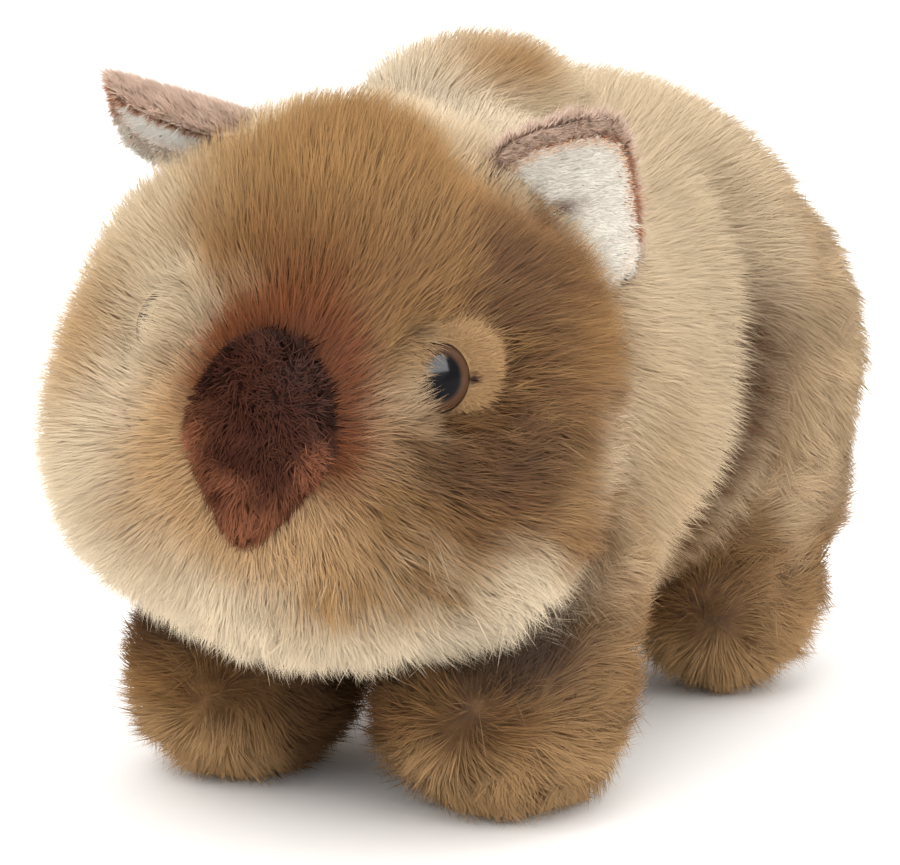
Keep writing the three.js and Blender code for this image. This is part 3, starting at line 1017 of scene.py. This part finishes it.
def ear_frame(pose):
    """An ear's own axes: across its width, out to its tip, and out of its back."""
    out = unit(pose["out"])
    across = unit(np.cross(out, pose["face"]))
    return across, out, np.cross(out, across)


def outward(place):
    """How far out on an ear's soft-cornered disc: zero in the middle and one at its edge."""
    return (np.abs(place) ** EAR["corner"]).sum(axis=1) ** (1 / EAR["corner"])


def ear_leaf(pose, rays, near, thick, sign):
    """One leaf of an ear in the head's frame: a disc with soft corners, flat on the hidden side and
    domed on the shown side, bent to a cup that is deepest in the middle. Sign is 1 for the back
    leaf and -1 for the lining."""
    across, out, back = ear_frame(pose)
    square = np.hypot(rays[:, 0], rays[:, 2]) / np.maximum(outward(rays[:, ::2]), 1e-9)
    wide, high, over, above = LINING.values() if sign < 0 else (0.94, 0.94, 0, 0)
    u = rays[:, 0] * square * EAR["wide"] * wide + over
    v = EAR["low"] + rays[:, 2] * square * EAR["high"] * high + above
    bend = pose["cup"] * (1 - (u / EAR["wide"]) ** 2) * (1 - v / EAR["reach"])
    depth = sign * (near + thick * np.sqrt(np.maximum(sign * rays[:, 1], 0)))
    return pose["at"] + across * u[:, None] + out * v[:, None] + back * (bend + depth)[:, None]


def make_ear(side, pose):
    """Both leaves of an ear with their short pile: mauve-brown behind and round the rim, rust at the
    seam, and cream velour in front, with a painted shadow in the pocket at its foot."""
    rng = np.random.default_rng(SEED + (7 if side == "left" else 8))
    pieces = []
    across, out, _ = (a @ HEAD_AXES.T for a in ear_frame(pose))
    for name, near, thick, sign, depth, count, width in (
        ("ear_outer", 0.1, 1.2, 1, 3.0, 16000, 0.075),
        ("ear_velour", 0.1, 0.9, -1, 1.2, 10000, 0.11),
    ):
        rays, faces = cap_grid(72, 36)
        leaf = new_mesh(f"{name}_{side}", from_head(ear_leaf(pose, rays, near, thick, sign)), faces)
        points, normals, triangles = mesh_arrays(leaf.data)
        edge = np.hypot(rays[:, 0], rays[:, 2])
        free = ramp(distance(HEAD, to_head(points)), -7, -3)
        shown = (sign * rays[:, 1] > 0.001) | (edge > (0.8 if sign > 0 else 0.975))
        weight = shown * free * (1 + 0.8 * ramp(edge, 0.8, 0.99))
        leaf_shade = EAR_BACK * 0.75 if sign > 0 else EAR_CREAM * 0.95
        shade_points(leaf, np.tile(leaf_shade, (len(points), 1)))
        root, normal = scatter(points, normals, triangles, weight, count // (1), rng)
        n = len(root)
        r = root - from_head(pose["at"])
        place = np.stack([r @ across / EAR["wide"], (r @ out - EAR["low"]) / EAR["high"]], axis=1)
        far = outward(place)
        over, above = LINING["over"] / EAR["wide"], LINING["above"] / EAR["high"]
        seam_at = outward((place - vec(over, above)) / vec(LINING["wide"], LINING["high"]))
        lie = unit(out + 0.9 * across * place[:, :1])
        if sign < 0:
            upper = ramp(-place[:, 0] if side == "left" else place[:, 0], -0.6, 0.2)
            edge_tint = ramp(seam_at, 0.84, 0.96) * (rng.random(n) < 0.6) * (0.35 + 0.65 * upper)
            # The far ear's lining is painted paler than the near one's, as painted light where it faces down
            # into shade.
            cream = EAR_CREAM if side == "left" else colour(255, 250, 240)
            shades = mix(np.tile(cream, (n, 1)), colour(240, 196, 160), edge_tint)
            # Painted shadow: a dark spot low in the middle of the lining, where it folds in against the
            # head's fur.
            pocket_painted_shade = np.exp(-((place[:, 0] / 0.1) ** 2) - ((place[:, 1] + 0.04) / 0.26) ** 2)
            shades = mix(shades, EAR_RUST * 0.25, pocket_painted_shade * 0.9)
            depths = np.full(n, depth)
        else:
            lie = unit(lie + 1.2 * across * (place[:, :1] * ramp(far, 0.7, 0.95)[:, None]))
            front = normal @ np.cross(out, across) < -0.2
            seam = (1 - ramp(seam_at, 1.02, 1.1)) * front * (0.5 + 0.5 * (rng.random(n) < 0.6))
            seam = np.clip(seam + 0.2 * (rng.random(n) < 0.2), 0, 1)
            shades = mix(np.tile(EAR_BACK, (n, 1)), EAR_RUST * 0.8, seam)
            under = ramp(place[:, 0] * (1 if side == "left" else -1) - 0.25 * place[:, 1], 0.2, 0.5)
            shades = mix(shades, EAR_CREAM * 0.97, under * front)
            depths = np.where(front, 2.0 - 0.6 * under, depth)
        corner = vec(0.63 + 0.18 * (side == "right") + 0.09 * (sign > 0), 0.70)
        home = corner + 0.08 * (place * 0.45 + 0.5)
        width = width * 1
        dark, lift, bend, pull = (0.85, 40, 45, 0.3) if sign > 0 else (0.95, 46, 50, 0.05)
        toward = vec(0.1, -1.2, 0.4) if side == "right" else vec(0, 0, 0)
        ground, more = (root, normal, lie), (dark, lift, bend, pull, sign > 0, toward)
        tufts = short_pile(f"{name}_pile_{side}", ground, depths, width, shades, home, rng, *more)
        pieces.append((leaf, tufts, sign))
    return pieces


def way_to(turn, rise):
    """The way out from the toy by a turn from -Y toward +X and a rise, in degrees."""
    a, e = np.radians(turn), np.radians(rise)
    return vec(np.sin(a) * np.cos(e), -np.cos(a) * np.cos(e), np.sin(e))


def camera():
    """The photograph's view: from the toy's left front, a little above, through a short telephoto
    lens, with the head's centre at its own place in the picture."""
    turn = np.radians(26)
    back = way_to(26, 10)
    right = vec(np.cos(turn), np.sin(turn), 0)
    up = np.cross(back, right)
    away, focal, wide, high = 650.0, 2827.0, 900, 865
    seen_x, seen_y = 335, 388
    across, above = (seen_x - wide / 2) / focal * away, -(seen_y - high / 2) / focal * away
    place = vec(-2, -83, 98) - right * across - up * above + back * away + SHIFT
    data = bpy.data.cameras.new("camera")
    data.sensor_width, data.lens = 36, focal / wide * 36
    data.clip_start, data.clip_end = 0.05, 50
    made = placed("camera", data)
    turned = np.stack([right, up, back], axis=1)
    made.matrix_world = Matrix([[*turned[k], place[k] * MM] for k in range(3)] + [[0, 0, 0, 1]])
    bpy.context.scene.camera = made


def floor():
    """A wide pale floor under the paws."""
    size = 40000.0
    corners = np.array([[-size, -size, 0], [size, -size, 0], [size, size, 0], [-size, size, 0]]) - SHIFT
    made = new_mesh("floor", corners, [np.array([[0, 1, 2, 3]])])
    made.data.materials.append(node_material("floor_paper", (0.93, 0.905, 0.88), 0.9)[0])


def light(kind, name, turn, rise, strength, **more):
    """A light that shines from a turn and a rise."""
    away = way_to(turn, rise)
    data = bpy.data.lights.new(name, kind)
    data.energy = strength
    for key, value in more.items():
        setattr(data, key, value)
    made = placed(name, data)
    made.location = vec(0, -0.08, 0.1) + away * 1.2
    made.rotation_euler = Vector(away).to_track_quat("Z", "Y").to_euler()
    return made


def studio():
    """A soft even surround, a broad key on the camera's left, weaker lights on its right and from
    behind, and a wide soft box that shows as the glint in the near eye."""
    world = bpy.context.scene.world = bpy.data.worlds.new("studio")
    world.use_nodes = True
    surround = world.node_tree.nodes["Background"].inputs
    surround["Color"].default_value, surround["Strength"].default_value = (1, 1, 1, 1), 0.95
    light("SUN", "key", -28, 60, 2.1, angle=np.radians(80))
    light("SUN", "fill", 64, 28, 0.9, angle=np.radians(60))
    light("SUN", "back", 160, 55, 0.9, angle=np.radians(70))
    window = light("AREA", "window", 68, 31, 64, shape="RECTANGLE", size=1.1, size_y=0.7)
    window.visible_diffuse = False
    bpy.context.scene.view_settings.view_transform = "Standard"


camera()
floor()
studio()

cloth_look, eye_look = cloth_material("plush_cloth"), eye_material()
pile_look, nose_look = pile_material("plush_pile"), pile_material("nose_pile")
ear_look, velour_look = pile_material("ear_pile"), pile_material("ear_velour")

skin = make_skin()
skin_colours(skin)
skin.data.materials.append(cloth_look)
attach(skin, "root")
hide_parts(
    "head", "torso", "tail", "leg_front_left", "leg_front_right", "leg_rear_left", "leg_rear_right"
)

for piece in make_coat(skin):
    piece.data.materials.append(pile_look)
    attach(piece, "root")

for piece in make_nose():
    piece.data.materials.append(nose_look)
    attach(piece, "root")
    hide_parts("nose")

for side, sign in (("left", 1), ("right", -1)):
    eye = make_eye(side, sign)
    eye.data.materials.append(eye_look)
    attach(eye, "root")
    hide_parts(f"eye_{side}")
    for leaf, tufts, face in make_ear(side, EAR_POSES[side]):
        look, slot, node = velour_look, "ear_lining", "ear_lining"
        if face > 0:
            look, slot, node = ear_look, "ear_plush", "ear"
        for piece in (leaf, tufts):
            piece.data.materials.append(look)
            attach(piece, "root")
            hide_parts(f"{node}_{side}")
